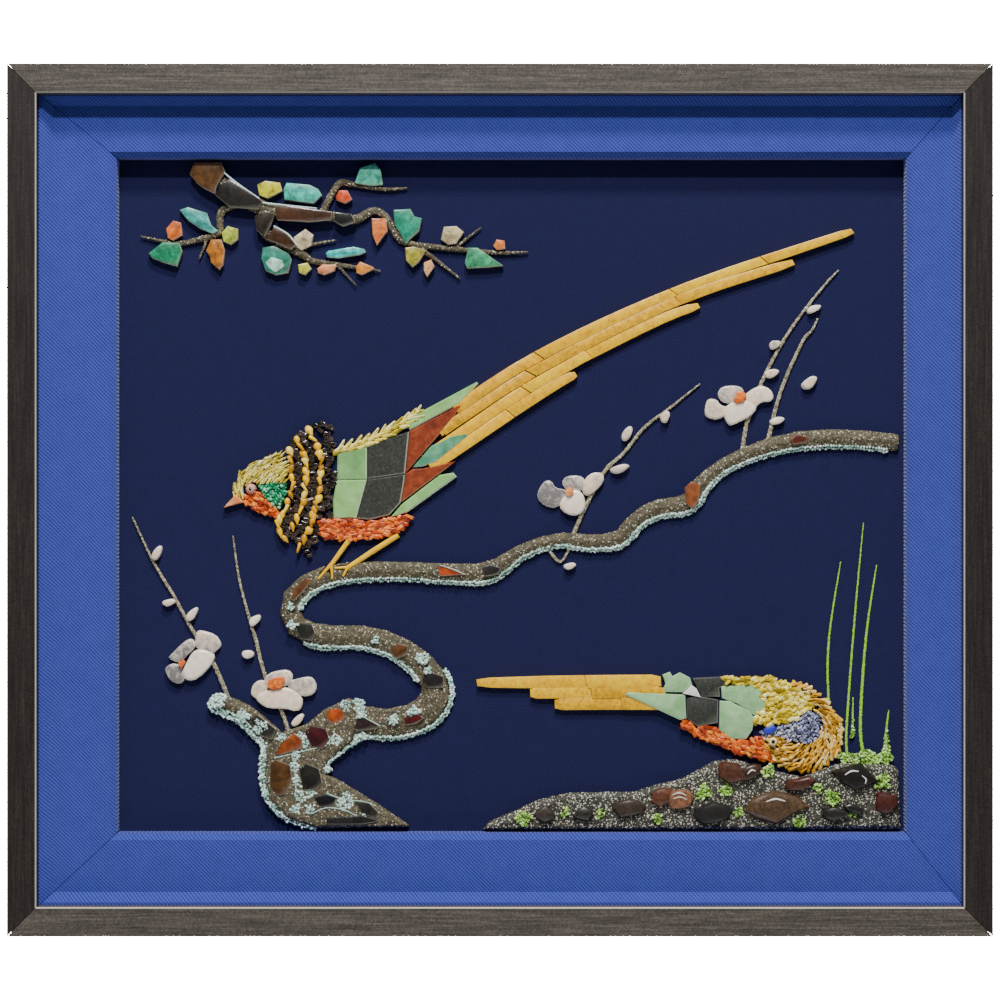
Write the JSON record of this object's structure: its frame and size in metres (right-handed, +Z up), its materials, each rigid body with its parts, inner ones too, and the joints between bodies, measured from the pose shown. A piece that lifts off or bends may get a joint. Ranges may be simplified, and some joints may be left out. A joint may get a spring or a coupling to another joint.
{
  "type": "hardstone inlay picture",
  "caption": "Framed shadow-box picture of golden pheasants, plum blossom and grass, laid in coloured stone chips on navy cloth, with a blue cloth liner and a dark wooden frame.",
  "frame": {"origin": "centre of the back face, which lies against the wall", "axes": "+Z up, +Y into the wall, the picture faces -Y, +X to the viewer's right"},
  "size_m": [0.61, 0.038, 0.54],
  "materials": {
    "frame_wood": "dark brown, satin",
    "liner_cloth": "royal-blue twill",
    "field_cloth": "navy plain weave",
    "backing_board": "raw hardboard",
    "rose_stone": "polished",
    "peach_stone": "polished",
    "malachite": "granular",
    "yellow_stone": "polished chips",
    "carnelian": "polished chips",
    "gold_stone": "polished chips",
    "dark_stone": "polished",
    "pale_jade": "polished, bevelled",
    "slate": "polished, bevelled",
    "red_jasper": "polished, bevelled",
    "honey_stone": "polished strips",
    "rose_quartz": "tumbled",
    "bark_grit": "glittering grit",
    "turquoise_stone": "polished",
    "lapis_stone": "polished chips",
    "dark_rock": "grit with polished pebbles",
    "moss_grit": "granular"
  },
  "bodies": {
    "root": {"backing_board": "backing_board", "blossom_1": "rose_quartz", "blossom_2": "rose_quartz", "blossom_3": "rose_quartz", "blossom_4": "rose_quartz", "blossom_centre_1": "carnelian", "blossom_centre_2": "carnelian", "blossom_centre_3": "carnelian", "blossom_centre_4": "carnelian", "frame_rail_bottom": "frame_wood", "frame_rail_left": "frame_wood", "frame_rail_right": "frame_wood", "frame_rail_top": "frame_wood", "grass_blades": "moss_grit", "leaf_rod": "turquoise_stone", "leafy_branch": "bark_grit", "liner_rail_bottom": "liner_cloth", "liner_rail_left": "liner_cloth", "liner_rail_right": "liner_cloth", "liner_rail_top": "liner_cloth", "picture_panel": "field_cloth", "resting_back": "yellow_stone", "resting_belly": "carnelian", "resting_dark_tiles": "slate", "resting_green_tiles": "pale_jade", "resting_nape": "lapis_stone", "resting_neck_scales": "gold_stone", "resting_pale_tiles": "pale_jade", "resting_tail": "honey_stone", "rocky_bank": "dark_rock", "standing_back_scales": "gold_stone", "standing_beak": "peach_stone", "standing_belly": "carnelian", "standing_cape_band_1": "dark_stone", "standing_cape_band_2": "dark_stone", "standing_cape_band_3": "dark_stone", "standing_cape_row_1": "yellow_stone", "standing_cape_row_2": "yellow_stone", "standing_cape_row_3": "yellow_stone", "standing_cheek": "malachite", "standing_crest": "yellow_stone", "standing_eye": "rose_stone", "standing_leg_front": "gold_stone", "standing_leg_rear": "gold_stone", "standing_tail_row_1": "honey_stone", "standing_tail_row_2": "honey_stone", "standing_tail_row_3": "honey_stone", "standing_tail_row_4": "honey_stone", "standing_throat": "carnelian", "standing_wing_tile_1": "pale_jade", "standing_wing_tile_2": "pale_jade", "standing_wing_tile_3": "slate", "standing_wing_tile_4": "slate", "standing_wing_tile_5": "pale_jade", "standing_wing_tile_6": "red_jasper", "standing_wing_tile_7": "pale_jade", "standing_wing_tile_8": "red_jasper", "standing_wing_tile_9": "pale_jade", "winding_branch": "bark_grit"}
  },
  "joints": []
}
